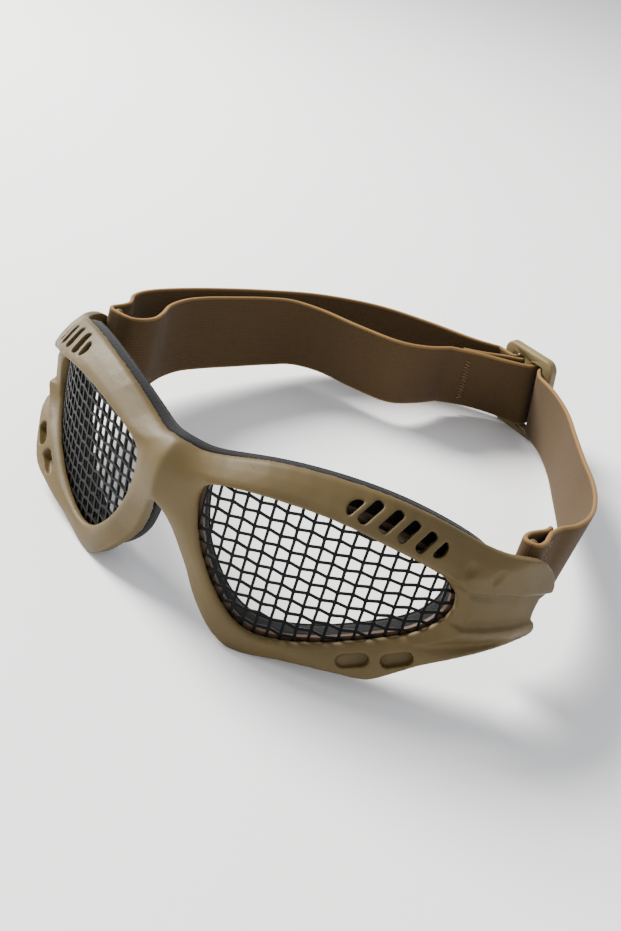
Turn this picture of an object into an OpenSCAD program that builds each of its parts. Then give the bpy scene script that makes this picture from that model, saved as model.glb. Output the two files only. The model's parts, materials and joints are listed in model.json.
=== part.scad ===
// Steel mesh goggles: a moulded wrap-round frame with two woven wire lenses, a laminated foam seal
// and an elastic head strap with a three-bar slider. Everything is laid out in the goggles' own frame:
// X to the wearer's left, Y towards the back of the head, Z up along the frame, X = 0 between the eyes.

/* [Frame] */
// Width over the two temple ends
frame_width = 165.8; // [158:0.1:174]
// Wall of the moulded frame
frame_wall = 2.2; // [1.8:0.1:2.4]
// How far the wire lens sits behind the lens opening's rim, at least
lens_inset = 1.2; // [1:0.1:1.6]
// Diameter of the upright bar that the strap hooks over
post_d = 3.3; // [2.8:0.1:3.6]
// Height of that bar's free top over the middle of the strap
post_rise = 12.4; // [10:0.1:13.5]
// Thickness of the shelf that the bar stands on
shelf_t = 2.2; // [1.6:0.1:2.8]

/* [Vents] */
// Width of a vent slot in the brow
vent_w = 2.5; // [1.8:0.1:2.8]
// Length of the longest vent slot
vent_l = 7.4; // [6:0.1:8]
// Height of the slots in the lower rail
rail_slot_h = 3.3; // [2.6:0.1:3.6]
// Length of the slots in the lower rail
rail_slot_l = 8.4; // [7:0.1:9]
// Radius of the round bottom of the thumb dimples
dimple_r = 5; // [4.5:0.1:6]

/* [Wire lens] */
// Distance from wire to wire
mesh_pitch = 3.45; // [3.3:0.05:4]
// Width of a wire
wire_w = 0.7; // [0.5:0.05:0.8]
// Thickness of the wire lens
wire_t = 0.75; // [0.6:0.05:0.9]
// How far each crossing is pushed off the even grid by the weave
weave_push = 0.36; // [0:0.02:0.4]
// Thickness of the ring that clamps the wire lens into the frame
retainer_t = 1.2; // [1:0.1:1.6]
// Width of that ring
retainer_w = 3; // [2.4:0.1:3.4]

/* [Foam seal] */
// Adhesive film between frame and foam
film_t = 0.4; // [0.3:0.05:0.6]
// Closed-cell foam
foam_t = 5.4; // [4:0.1:7]
// Brushed cover on the face side
cover_t = 0.8; // [0.5:0.1:1.2]

/* [Strap] */
// Width of the elastic webbing
webbing_h = 25.4; // [24:0.1:26.4]
// Thickness of the webbing
webbing_t = 1.3; // [1:0.1:1.4]
// Length of a bar tack's thread lines
tack_l = 20; // [16:0.5:22]

/* [Slider] */
// Length of the slider along the strap
slider_l = 24; // [23:0.1:26]
// Height of the slider across the strap
slider_h = 34; // [33:0.1:36]
// Thickness of the slider
slider_t = 3.2; // [2.8:0.1:3.4]
// Width of its middle bar
slider_bar = 3.4; // [3:0.1:3.6]
// Width of its two outer bars
slider_side = 4.5; // [3.8:0.1:4.8]
// Radius of the slider's corners
slider_corner = 4; // [2:0.1:5]

/* [Stand] */
// Height of the small flats that the low corners stand on
foot_flat = 0.4; // [0.2:0.05:0.8]

/* [Hidden] */

// Colours
tan = "#9A8764";
webbing_tan = "#6F5438";
slider_tan = "#9A9070";
thread_tan = "#A8875A";
charcoal = "#2E2F31";
black = "#18191B";

// The outlines below are drawn for a frame this wide, and follow the frame's width from there
drawn_width = 165.8;
stretch = frame_width / drawn_width;
gap = 0.3;
seat_gap = 0.1;

// Middle of the strap's height, and its two edges
strap_mid_z = -5;
strap_top = strap_mid_z + webbing_h / 2;
strap_bottom = strap_mid_z - webbing_h / 2;

// Where the slider hangs, how it is turned and how far its foot is swung back
slider_at = [11, 171, strap_mid_z + 0.8];
slider_turn = -18;
slider_lean = 14;
function slider_spot(p) = let(
    y = p.y * cos(slider_lean) - p.z * sin(slider_lean), z = p.y * sin(slider_lean) + p.z * cos(slider_lean))
  slider_at + [p.x * cos(slider_turn) - y * sin(slider_turn), p.x * sin(slider_turn) + y * cos(slider_turn), z];

// The goggles stand on the frame's two low corners and the slider's foot
low_corner = [27, -13, -37.8 + foot_flat];
slider_foot = slider_spot([0, -slider_t / 2, 0.2 - slider_h / 2]);
rest_lean = atan((slider_foot.z - low_corner.z) / (slider_foot.y - low_corner.y));
floor_z = -low_corner.y * sin(rest_lean) + low_corner.z * cos(rest_lean);
middle_x = -0.8;
middle_y = 75.6;
module standing() translate([-middle_x, -middle_y, -floor_z]) rotate([-rest_lean, 0, 0]) children();
module on_the_floor() difference() {
  standing() children();
  translate([-150, -150, -20]) cube([300, 300, 20]);
}
module both_sides() {
  children();
  mirror([1, 0, 0]) children();
}
module right_side() mirror([1, 0, 0]) children();

// Outline stations of the wearer's left half, clockwise as seen from the front. Each holds the point on
// the rim of the lens opening, the point on the frame's outer edge, the depth of the outer edge's rim
// and how far the wall between the two swells outwards.
stations = [
  [[11.6, -21.9, 4.8], [0, -21.6, 12.2], 2.2, 0.9],
  [[13.6, -22, 6.3], [5.5, -19.6, 11.3], 2, 0.8],
  [[17.9, -21, 7.7], [12.3, -16.8, 12.3], 2, 0.8],
  [[27.5, -18.2, 9.2], [22.5, -14.2, 15.4], 2, 0.8],
  [[36.6, -15, 9.8], [32, -10.8, 17], 2, 0.8],
  [[46.3, -11.9, 9.9], [41.5, -6.2, 17.4], 2, 0.8],
  [[55.3, -7.2, 8.1], [50.5, -1.3, 16.9], 2, 0.8],
  [[61.4, -1.8, 5.8], [58.6, 4, 15.2], 2, 0.8],
  [[65, 3.5, 3], [64.8, 10.6, 12.2], 2, 1.2],
  [[66.1, 4.9, 2.3], [70, 16.4, 9.4], 2, 1.7],
  [[66.6, 5.5, 1.9], [75.4, 22.8, 7.2], 2.4, 2.2],
  [[67, 6.1, 1.5], [78.8, 29.4, 5.8], 2.8, 2.6],
  [[67.3, 6.5, 1.2], [80.6, 36, 3.7], 2.6, 3],
  [[67.5, 6.8, 0.9], [82, 42.6, -2.2], 2.8, 3.4],
  [[67.7, 7.1, 0.6], [82.3, 44.6, -6.9], 2.8, 3.6],
  [[66.3, 8.2, 0.3], [80.8, 42.6, -7.5], 1.6, 3.5],
  [[69.2, 10.2, -2.9], [80.7, 41, -9.4], 1.6, 2.8],
  [[70.1, 11.3, -6], [80.7, 40.4, -11.6], 1.6, 2.5],
  [[69.8, 11.6, -9.4], [80.8, 40, -13.4], 1.6, 2.5],
  [[69, 11.2, -11.4], [81, 40, -14.8], 1.6, 2.6],
  [[68.5, 10.7, -12.2], [82, 40.6, -15.5], 2.4, 4.4],
  [[67, 9.7, -14.4], [82.1, 42, -18.7], 3.4, 4.4],
  [[65.2, 8.2, -16.3], [81.3, 36.4, -19.6], 4, 3.6],
  [[63.3, 6.6, -17.9], [79.6, 26, -19.4], 4.4, 2.6],
  [[61.4, 5, -19.1], [77.3, 17.9, -19.5], 4.5, 1.6],
  [[59.4, 3.4, -20.1], [73.3, 10.4, -21], 4.5, 1],
  [[57, 1.5, -21.3], [68.6, 5.3, -23.6], 4.5, 0.7],
  [[54.2, -0.5, -22.8], [63.9, 0.8, -27.4], 4.5, 0.6],
  [[51.3, -2.4, -24.2], [59.8, -1.8, -30.5], 4.5, 0.6],
  [[46.8, -5, -26.4], [53.8, -4.6, -31.6], 4.5, 0.6],
  [[42.1, -7.5, -28.2], [46.5, -7.4, -32.9], 4.5, 0.6],
  [[37.3, -9.8, -29.7], [39, -9.2, -34.8], 4.5, 0.6],
  [[32.8, -11.7, -30.6], [31.4, -11.6, -36.9], 4.4, 0.6],
  [[28.7, -13.2, -30.3], [25.8, -13.4, -37.6], 4.2, 0.6],
  [[25, -14.4, -28.6], [21, -15.6, -34.8], 4, 0.6],
  [[21.8, -15.8, -25.8], [16.6, -16.8, -30.4], 4, 0.6],
  [[18.8, -16.8, -22.3], [12.8, -17.2, -26], 4, 0.7],
  [[16.2, -17.8, -18.4], [9.7, -17.2, -21.6], 4, 0.8],
  [[14, -18.8, -14.2], [7.2, -18.6, -16.8], 4, 0.9],
  [[12.3, -19.6, -9.8], [4.6, -20.9, -11], 4, 0.9],
  [[11.2, -20.3, -5.4], [2, -23.8, -6.2], 3.4, 0.8],
  [[10.6, -20.9, -1.6], [0, -25.6, -3.6], 2.2, 0.6],
  [[10.5, -21.3, 1.2], [0, -26, 2.2], 2.2, 0.6],
  [[10.8, -21.6, 3.2], [0, -25, 8], 2.2, 0.7]
];

// Heading of the wrap in plan, and the plan line of the wire lens, by distance from the middle
function heading(x) = lookup(abs(x) / stretch, [[0, 0], [6, 4], [12, 15], [24, 21], [34, 25], [44, 28],
  [54, 32], [60, 37], [65, 43], [69, 53], [73, 62], [77, 68], [80, 75], [84, 80]]);
lens_line = [[0, -21], [8, -19.8], [14, -18], [22, -15.6], [30, -12.7], [38, -9.3], [46, -5], [54, 0.2],
  [60, 5.1], [65, 9.9], [69, 14.2], [72, 17.9], [80, 31.3]];
lens_lean = 0.08;
lens_mid_z = -8.6;

function inward(x) = [-sin(heading(x)) * sign(x), cos(heading(x)), 0];
function mix(a, b, t) = a + (b - a) * t;
function sized(p) = [p.x * stretch, p.y, p.z];
function unit(v) = v / max(norm(v), 0.001);

// Smooth curve through points that are unevenly spaced
function knot(a, b) = max(sqrt(norm(b - a)), 0.05);
function curve_point(a, b, c, d, u) = let(
    t1 = knot(a, b), t2 = t1 + knot(b, c), t3 = t2 + knot(c, d), t = mix(t1, t2, u),
    p = mix(a, b, t / t1), q = mix(b, c, (t - t1) / (t2 - t1)), r = mix(c, d, (t - t2) / (t3 - t2)),
    e = mix(p, q, t / t2), f = mix(q, r, (t - t1) / (t3 - t1)))
  mix(e, f, (t - t1) / (t2 - t1));
function smooth_ring(p, n) = let(m = len(p)) [for (i = [0:m - 1], k = [0:n - 1])
    curve_point(p[(i - 1 + m) % m], p[i], p[(i + 1) % m], p[(i + 2) % m], k / n)];
function smooth_line(p, n) = let(m = len(p)) [for (i = [0:m - 2], k = [0:n - 1])
    curve_point(i > 0 ? p[i - 1] : 2 * p[0] - p[1], p[i], p[i + 1],
      i < m - 2 ? p[i + 2] : 2 * p[m - 1] - p[m - 2], k / n), p[m - 1]];

// Depth of the wire lens behind a point of the rim, measured along the inward direction
function lens_y(x, z) = lookup(x / stretch, lens_line) - lens_lean * (z - lens_mid_z);
function lens_depth(p) = max(lens_inset, (lens_y(p.x, p.z) - p.y) * cos(heading(p.x)));
function on_lens(x, z, depth) = [x, lens_y(x, z), z] + depth * inward(x);

steps = 2;
rim_curve = smooth_ring([for (s = stations) sized(s[0])], steps);
edge_curve = [for (p = smooth_ring([for (s = stations) sized(s[1])], steps)) p.x < 0.4 ? [0, p.y, p.z] : p];
rim_and_swell = smooth_ring([for (s = stations) [s[2], s[3]]], steps);
count = len(rim_curve);

// Closed skin over a ring of sections, with a mirror image joined on at the middle if both is true.
// A section edge that lies in the middle plane at both its stations is left open there. The middle third
// of the faces is split along the other diagonal, so that the layers of the foam lie flush.
function middle(p) = abs(p.x) < 0.001;
function skin_faces(sections, flip) = let(n = len(sections), m = len(sections[0])) [
  for (i = [0:n - 1], k = [0:m - 1])
    let(j = (i + 1) % n, l = (k + 1) % m, turned = k >= m / 3 && k < 2 * m / 3,
      a = i * m + k, b = i * m + l, c = j * m + l, d = j * m + k)
    if (!(middle(sections[i][k]) && middle(sections[i][l]) && middle(sections[j][k]) && middle(sections[j][l])))
      each turned ? (flip ? [[a, d, b], [b, d, c]] : [[a, b, d], [b, c, d]])
        : flip ? [[a, c, b], [a, d, c]] : [[a, b, c], [a, c, d]]];
module skin(sections, both = false) {
  points = [for (s = sections) each s];
  half = skin_faces(sections, false);
  if (both)
    polyhedron(concat(points, [for (p = points) [-p.x, p.y, p.z]]),
      concat(half, [for (f = skin_faces(sections, true)) [for (v = f) v + len(points)]]));
  else
    polyhedron(points, half);
}

// Strip with two ends, a row of sections of four corners each
module strip(sections) {
  n = len(sections);
  sides = [for (i = [0:n - 2], k = [0:3])
    let(a = 4 * i + k, b = 4 * i + (k + 1) % 4)
    each [[a, b, b + 4], [a, b + 4, a + 4]]];
  polyhedron([for (s = sections) each s],
    concat(sides, [[2, 1, 0], [3, 2, 0], [4 * n - 4, 4 * n - 3, 4 * n - 2], [4 * n - 4, 4 * n - 2, 4 * n - 1]]));
}

// Where the back of the opening's lip meets the wire lens, the way outwards from there, and places
// that lie a distance outwards from the lip and a depth behind the wire lens
seat_curve = [for (p = rim_curve) p + lens_depth(p) * inward(p.x)];
function outwards(i) = let(
    a = seat_curve[(i - 1 + count) % count], b = seat_curve[(i + 1) % count], t = unit([b.x - a.x, 0, b.z - a.z]))
  [-t.z * cos(heading(seat_curve[i].x)), 0, t.x];
function by_seat(i, out, depth) = let(p = seat_curve[i] + out * outwards(i)) on_lens(p.x, p.z, depth);

// How far along its section the ledge reaches: ledge_w straight out from the lip, or less where the
// shell's front falls back and leaves it no room. It is a share of the way from the lip to the edge.
function front_depth(i, f, share) = let(
    a = mix(rim_curve[i], edge_curve[i], f), b = a - share * rim_and_swell[i][1] * inward(a.x))
  (lens_y(b.x, b.z) - b.y) * cos(heading(b.x));
function to_edge(i) = let(p = seat_curve[i], q = edge_curve[i]) [(q.x - p.x) / cos(heading(p.x)), 0, q.z - p.z];
function straight_out(i) = let(d = unit(to_edge(i)), o = outwards(i))
  max(0.5, d.x * o.x / cos(heading(seat_curve[i].x)) + d.z * o.z);
function ledge_room(i) = let(
    start = lens_depth(rim_curve[i]), third = front_depth(i, 0.34, 1), most = front_depth(i, 0.67, 0.7))
  third < ledge_skin ? 0.34 * (start - ledge_skin) / max(0.01, start - third)
    : most < ledge_skin ? 0.34 + 0.33 * (third - ledge_skin) / max(0.01, third - most) : 0.62;
function ledge_share(i) = min(ledge_w / straight_out(i) / norm(to_edge(i)), ledge_room(i), 0.62);
function ledge_point(i, past, depth) = let(p = seat_curve[i], d = to_edge(i), t = ledge_share(i) + past / norm(d))
  on_lens(p.x + t * d.x * cos(heading(p.x)), p.z + t * d.z, depth);
retainer_in = 0.6;
ledge_w = retainer_w - retainer_in + 3 * gap;
ledge_skin = 0.9;

// Share of a length along the section that lies across the outer edge, where the section meets it aslant.
// It counts below slant_top only, so that the wall beside the strap bar stays clear of the webbing.
slant_top = -16.5;
function across_edge(i) = let(
    a = edge_curve[(i - 1 + count) % count], b = edge_curve[(i + 1) % count], q = edge_curve[i])
  q.z > slant_top ? 1 : max(0.15, norm(cross(unit(q - rim_curve[i]), unit(b - a))));

// Rise of the outer skin over the lower edge of the temple, which leaves that edge blunt.
// It starts in front of the strap bar's shelf.
flange_t = 1.3;
function flange(i) = let(start = min(1, max(0, (40.5 - edge_curve[i].y) / 12)))
  [0, 0, flange_t * start * min(1, max(0, 2.6 * (0.8 - across_edge(i))))];

// Frame shell: a channel section swept round the lens opening, deep at the rim and at the outer edge.
// Its ledge behind the rim is what the wire lens lies against.
function frame_section(i) = let(
    p = rim_curve[i], q = edge_curve[i], in_p = inward(p.x), in_q = inward(q.x), rim = rim_and_swell[i][0],
    swell = rim_and_swell[i][1], open = middle(q), depth = lens_depth(p), edge_in = open ? frame_wall : rim,
    span = norm(q - p), fullness = lookup(swell, [[1, 0.6], [2, 0.95]]),
    wall = ledge_share(i) + 0.4 / norm(to_edge(i)), mid = max(0.5, wall + 0.1),
    lip = max(1 - frame_wall / span / across_edge(i), mid + 0.05))
  [by_seat(i, 0, 0),
   p + 0.5 * in_p,
   mix(p, q, 0.5 / span),
   mix(p, q, 0.12) - fullness * swell * inward(mix(p, q, 0.12).x),
   mix(p, q, 0.34) - swell * inward(mix(p, q, 0.34).x) + 0.3 * flange(i),
   mix(p, q, 0.67) - 0.7 * swell * inward(mix(p, q, 0.67).x) + 0.75 * flange(i),
   open ? q : mix(p, q, 1 - 0.5 / span) + flange(i),
   q + 0.5 * in_q,
   q + edge_in * in_q,
   mix(p, q, lip) + (open ? frame_wall : min(edge_in, frame_wall + 0.2)) * inward(mix(p, q, lip).x),
   mix(p, q, mid) + (frame_wall - swell) * inward(mix(p, q, mid).x),
   ledge_point(i, 0.4, max(0.5, frame_wall - front_depth(i, wall, 1))),
   ledge_point(i, 0, 0)];

// A piece laid at a point, its Z turned to a normal and its X along the surface
module facing(at, normal, along) {
  n = unit(normal);
  pitch = acos(n.z);
  turn = atan2(n.y, n.x);
  e1 = [cos(pitch) * cos(turn), cos(pitch) * sin(turn), -sin(pitch)];
  e2 = [-sin(turn), cos(turn), 0];
  translate(at) rotate([0, pitch, turn]) rotate([0, 0, atan2(along * e2, along * e1)]) children();
}

// Rectangle with rounded corners
module rounded_outline(l, h, r, corner_steps = 32) {
  square([l - 2 * r, h], center = true);
  square([l, h - 2 * r], center = true);
  for (x = [-1, 1], y = [-1, 1]) translate([x * (l / 2 - r), y * (h / 2 - r)]) circle(r, $fn = corner_steps);
}

// Round-ended slot lying along X, and the same with one straight side
module slot_outline(l, w) {
  square([l - w, w], center = true);
  for (s = [-1, 1]) translate([s * (l - w) / 2, 0]) circle(d = w, $fn = 12);
}
module segment_outline(l, w) {
  r = (l * l / 4 + w * w) / (2 * w);
  intersection() {
    translate([0, w / 2 - r]) circle(r, $fn = 12);
    translate([-l / 2, -w / 2]) square([l, w]);
  }
}

// Vent slots in the brow: place of the middle, share of the full length, and which side is curved
vent_along = [0.254, 0.668, 0.7];
vent_normal = [0.478, -0.716, 0.51];
vents = [[[48.5, -7, 14], 1], [[53.25, -4.65, 13.3], 1], [[57.45, -2.55, 12.3], 0.94], [[61.65, -0.15, 11.05], 0.88]];
vent_ends = [[[44.6, -8.9, 14.2], 1], [[65, 3, 9.4], -1]];
vent_depth = 9;
vent_corner = 0.8;
vent_sink = 6;
module vent_cuts() {
  for (v = vents) facing(sized(v[0]), vent_normal, vent_along)
    translate([0, 0, -vent_sink]) linear_extrude(vent_depth) rounded_outline(v[1] * vent_l, vent_w, vent_corner, 12);
  for (v = vent_ends) facing(sized(v[0]), vent_normal, vent_along)
    translate([0, 0, -vent_sink]) linear_extrude(vent_depth) rotate(v[1] < 0 ? 180 : 0)
      segment_outline(0.78 * vent_l, 0.92 * vent_w);
}

// Two shallow oval dimples behind the vents
dimples = [[[70.3, 10.7, 5.3], [0.77, -0.5, 0.4]], [[75.3, 17.7, 2.8], [0.9, -0.38, 0.1]]];
dimple_round = 2.3;
dimple_sink = 0.7;
module dimple_cuts() for (d = dimples)
  facing(sized(d[0]) + (dimple_r - dimple_sink) * d[1], d[1], vent_along)
    rotate([90, 0, 0]) rotate_extrude($fn = 24) translate([dimple_r - dimple_round, 0])
      intersection() {
        circle(dimple_round, $fn = 16);
        translate([-(dimple_r - dimple_round), -dimple_round]) square([dimple_r, 2 * dimple_round]);
      }

// Deep blind slots in the lower rail, each with a box moulded behind it
rail_normal = [0.551, -0.763, 0.338];
rail_slots = [[[55.15, -3.15, -26.8], [0.69, 0.644, 0.328]], [[63.75, 2.7, -23.35], [0.667, 0.656, 0.363]]];
rail_slot_cut = 6.7;
rail_slot_sink = 2.6;
rail_box_wall = 0.8;
rail_box_start = 1.6;
module rail_slot_cuts() for (s = rail_slots)
  facing(sized(s[0]), rail_normal, s[1])
    translate([0, 0, -rail_slot_sink]) linear_extrude(rail_slot_cut) slot_outline(rail_slot_l, rail_slot_h);
module rail_slot_boxes() for (s = rail_slots)
  facing(sized(s[0]), rail_normal, s[1])
    translate([0, 0, -rail_slot_sink - rail_box_wall])
      linear_extrude(rail_slot_sink + rail_box_wall - rail_box_start)
        slot_outline(rail_slot_l + 2 * rail_box_wall, rail_slot_h + 2 * rail_box_wall);

// Upright bar for the strap, on a shelf inside the temple end
post = [74.2 * stretch, 37, 0];
shelf_top = strap_bottom - 2 * gap;
shelf_r = post_d / 2 + 1.8;
shelf_root_in = post_d / 2 + seat_gap + webbing_t + 2 * gap;
shelf_root_z = -17.9;
module post_and_shelf() {
  translate([post.x, post.y, shelf_top - shelf_t / 2]) {
    cylinder(h = strap_mid_z + post_rise - post_d / 2 - shelf_top + shelf_t / 2, d = post_d, $fn = 24);
    translate([0, 0, strap_mid_z + post_rise - post_d / 2 - shelf_top + shelf_t / 2]) sphere(d = post_d, $fn = 16);
  }
  translate([post.x, post.y, shelf_top - shelf_t]) linear_extrude(shelf_t) {
    circle(shelf_r, $fn = 24);
    polygon([[0, -shelf_r], [4.9 * stretch, -6], [5.2 * stretch, 4], [0, shelf_r]]);
  }
  translate([post.x, post.y, shelf_top - shelf_t]) linear_extrude(shelf_root_z - shelf_top + shelf_t)
    polygon([[shelf_root_in, -4.6], [4.9 * stretch, -5.6], [5.2 * stretch, 3.6], [shelf_root_in, 2.6]]);
}

// Moulded frame: shell, vents, dimples, rail slots and the two strap bars
module frame() color(tan) on_the_floor() {
  difference() {
    union() {
      skin([for (i = [0:count - 1]) frame_section(i)], true);
      both_sides() rail_slot_boxes();
    }
    both_sides() {
      vent_cuts();
      dimple_cuts();
      rail_slot_cuts();
    }
  }
  both_sides() post_and_shelf();
}

// Wire lens: a lattice of slanted crossings, cut off just outside the opening's lip
lattice_x = [for (i = 0, x = 7.46 * stretch; i < 24; i = i + 1, x = x + mesh_pitch * cos(heading(x))) x];
lattice_rows = 16;
lattice_mid_z = -10.9;
column_lean = 1.2;
lens_grow = 0.6;
function crossing(i, j, depth) = let(
    z = (j - lattice_rows / 2) * mesh_pitch, push = (i + j) % 2 == 0 ? -weave_push : weave_push)
  on_lens(lattice_x[i] + z * tan(column_lean) + 0.15 * push, lattice_mid_z + z + push, depth);
function cross_count(x, z) = len([for (i = [0:count - 1])
  let(a = seat_curve[i], b = seat_curve[(i + 1) % count])
  if ((a.z > z) != (b.z > z) && x < a.x + (z - a.z) * (b.x - a.x) / (b.z - a.z)) 1]);
function edge_distance(x, z) = min([for (i = [0:count - 1]) let(
    a = [seat_curve[i].x, seat_curve[i].z], b = [seat_curve[(i + 1) % count].x, seat_curve[(i + 1) % count].z],
    t = max(0, min(1, ([x, z] - a) * (b - a) / max((b - a) * (b - a), 0.0001)))) norm([x, z] - mix(a, b, t))]);
function in_lens(x, z) = cross_count(x, z) % 2 == 1 || edge_distance(x, z) < lens_grow;
columns = len(lattice_x) - 1;
rows = lattice_rows - 1;
filled = [for (i = [0:columns - 1]) [for (j = [0:rows - 1])
  let(c = (crossing(i, j, 0) + crossing(i + 1, j + 1, 0)) / 2) in_lens(c.x, c.z)]];
function full(i, j) = i >= 0 && j >= 0 && i < columns && j < rows && filled[i][j];

module wire_lens() {
  w = wire_w / 2;
  front = seat_gap;
  back = seat_gap + wire_t;
  row_len = rows + 1;
  fronts = [for (i = [0:columns], j = [0:rows]) crossing(i, j, front)];
  backs = [for (i = [0:columns], j = [0:rows]) crossing(i, j, back)];
  cells = [for (i = [0:columns - 1], j = [0:rows - 1]) if (full(i, j)) [i, j]];
  inner = [for (c = cells) let(
      q = [for (d = [[0, 0], [1, 0], [1, 1], [0, 1]]) crossing(c.x + d.x, c.y + d.y, front)])
    each [for (k = [0:3]) q[k] + w * (unit(q[(k + 1) % 4] - q[k]) + unit(q[(k + 3) % 4] - q[k]))]];
  shift = len(fronts);
  faces = [for (n = [0:len(cells) - 1]) let(
      i = cells[n].x, j = cells[n].y, a = i * row_len + j,
      outer = [a, a + row_len, a + row_len + 1, a + 1], core = 2 * shift + 4 * n,
      open = [!full(i, j - 1), !full(i + 1, j), !full(i, j + 1), !full(i - 1, j)])
    each [for (k = [0:3]) let(l = (k + 1) % 4)
      each concat(
        [[outer[k], core + k, core + l], [outer[k], core + l, outer[l]]],
        [[core + k, outer[k] + shift, outer[l] + shift], [core + k, outer[l] + shift, core + l]],
        open[k] ? [[outer[k], outer[l], outer[l] + shift], [outer[k], outer[l] + shift, outer[k] + shift]] : [])]];
  polyhedron(concat(fronts, backs, inner), faces);
}
module mesh_lens_left() color(black) standing() wire_lens();
module mesh_lens_right() color(black) standing() right_side() wire_lens();

// Ring behind each wire lens that clamps it into the frame
module lens_retainer() {
  front = 2 * seat_gap + wire_t;
  skin([for (i = [0:count - 1])
    [by_seat(i, -retainer_in, front + retainer_t), by_seat(i, -retainer_in, front),
     by_seat(i, retainer_w - retainer_in, front), by_seat(i, retainer_w - retainer_in, front + retainer_t)]]);
}
module lens_retainer_left() color(tan) standing() lens_retainer();
module lens_retainer_right() color(tan) standing() right_side() lens_retainer();

// Foam seal: layers that follow the frame's back all round both lenses. Each layer lies between two
// depths behind the frame, and is thinner at the outer edge, where the edge is pressed down. At the
// temples the seal stops short of the strap bars.
foam_rim_share = 0.45;
foam_inset = [[-1, 0.2], [-0.4, 1.6], [1, 1.6]];
foam_knee = retainer_w - retainer_in + 0.5;
foam_end_y = 20;
foam_seam = 0.12;
foam_stand_off = [[16, 2.2 * gap], [24, gap]];
foam_behind = 2 * seat_gap + wire_t + retainer_t + gap;
foam_shy = [[-34, 1.8], [-28, 0.3]];
function foam_outer(i) = let(p = rim_curve[i], q = edge_curve[i])
  q.y > foam_end_y ? mix(p, q, (foam_end_y - p.y) / (q.y - p.y)) :
  middle(q) ? q : q + lookup(q.z, foam_shy) * unit(p - q);
function foam_front(i) = edge_curve[i].y > foam_end_y ? frame_wall + 2 * gap
  : (middle(edge_curve[i]) ? frame_wall : rim_and_swell[i][0]) + lookup(edge_curve[i].x, foam_stand_off);
function foam_section(i, from, to) = let(
    o = foam_outer(i), way = inward(o.x), inset = lookup(outwards(i).z, foam_inset))
  [by_seat(i, foam_knee, foam_behind + to),
   by_seat(i, inset, foam_behind + to),
   by_seat(i, inset, foam_behind + from),
   by_seat(i, foam_knee, foam_behind + from),
   o + (foam_front(i) + foam_rim_share * from) * way,
   o + (foam_front(i) + foam_rim_share * to) * way];
module foam_layer(from, to)
  skin([for (i = [0:steps:count - 1]) foam_section(i, from, to)], true);
module foam_film() color(black) standing() foam_layer(0, film_t);
module foam_core() color(charcoal) standing() foam_layer(film_t + foam_seam, film_t + foam_t);
module foam_cover() color(black) standing() foam_layer(film_t + foam_t + foam_seam, film_t + foam_t + cover_t);

// Webbing between a top edge and a bottom edge. Each row is [top x, y, z, bottom x, y, z].
function across(t) = unit([t.y, -t.x, 0]);
module webbing(rows, n) {
  line = smooth_line(rows, n);
  m = len(line);
  strip([for (i = [0:m - 1]) let(
      a = line[max(i - 1, 0)], b = line[min(i + 1, m - 1)], c = line[i],
      top = [c[0], c[1], c[2]], low = [c[3], c[4], c[5]],
      side_top = across([b[0] - a[0], b[1] - a[1], 0]) * webbing_t / 2,
      side_low = across([b[3] - a[3], b[4] - a[4], 0]) * webbing_t / 2)
    [top + side_top, top - side_top, low - side_low, low + side_low]]);
}
function upright(r) = let(k = len(r) > 2 ? 2 : 0)
  [r[0] * stretch, r[1], strap_top, r[k] * stretch, r[k + 1], strap_bottom];
function by_slider(p) = let(t = slider_spot([p.x, p.y, webbing_h / 2]), b = slider_spot([p.x, p.y, -webbing_h / 2]))
  [t.x, t.y, t.z, b.x, b.y, b.z];

// Strap: routes in plan, each row [top x, top y, bottom x, bottom y] or [x, y] where it stands upright
slot_h = webbing_h + 1.6;
slot_w = (slider_l - 2 * slider_side - slider_bar) / 2;
slot_out = slider_bar / 2 + slot_w;
pass_left = [-slot_out - 6.5, -2.45];
pass_right = [slot_out + 2.5, -5];
left_route = [[28, 150.5, 30, 156], [39, 137.5, 40, 142], [50, 120, 51, 123], [60, 104, 60.5, 106],
  [68, 92, 67.5, 92], [74, 80, 72.5, 78], [77.5, 68, 75, 66], [77.5, 58, 75.5, 57], [75.6, 52, 75.3, 52], [75.3, 49.3]];
outer_route = [[-12, 164.5, -12, 172], [-29, 159, -27, 167], [-47, 150, -46, 158], [-62, 132, -62, 138],
  [-71, 111, -71, 115], [-76.5, 94, -76.5, 96], [-81, 76, -81, 77], [-83, 62], [-82.6, 55], [-81, 50.4],
  [-78.5, 47.2], [-77, 44.4], [-76.6, 41.8]];
inner_route = [[-11.1, 143.6, -15.1, 154.6], [-15, 133, -18, 142], [-22, 125, -23, 132], [-37, 120.5, -37, 128.5],
  [-52, 118, -51, 127], [-61.5, 113, -59, 121], [-66, 104, -62.5, 110], [-70, 90, -66.5, 93],
  [-73, 77, -69.5, 80], [-73.5, 68, -71, 70], [-71.5, 58, -70, 60], [-67.5, 50, -67.5, 51], [-65.2, 43.5],
  [-65.6, 38.5], [-67.4, 35.4], [-70.9, 34.6]];
turn_r = post_d / 2 + seat_gap + webbing_t / 2;

module strap_left_run() color(webbing_tan) standing()
  webbing(concat([by_slider(pass_right)], [for (r = left_route) upright(r)]), 3);
module strap_outer_run() color(webbing_tan) standing()
  webbing(concat([by_slider(pass_left)], [for (r = outer_route) upright(r)]), 3);
module strap_inner_run() color(webbing_tan) standing()
  webbing([for (r = inner_route) upright(r)], 3);

// Stretch of the strap that slips round the bar on the wearer's right
module strap_post_turn_right() color(webbing_tan) standing()
  webbing([for (r = concat([[-76.6, 41.5], [-76.6, 39.4]],
    [for (a = [180:22.5:270]) [(-post.x + turn_r * cos(a)) / stretch, post.y + turn_r * sin(a)]],
    [[-71.2, 34.6]])) upright(r)], 2);

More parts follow.
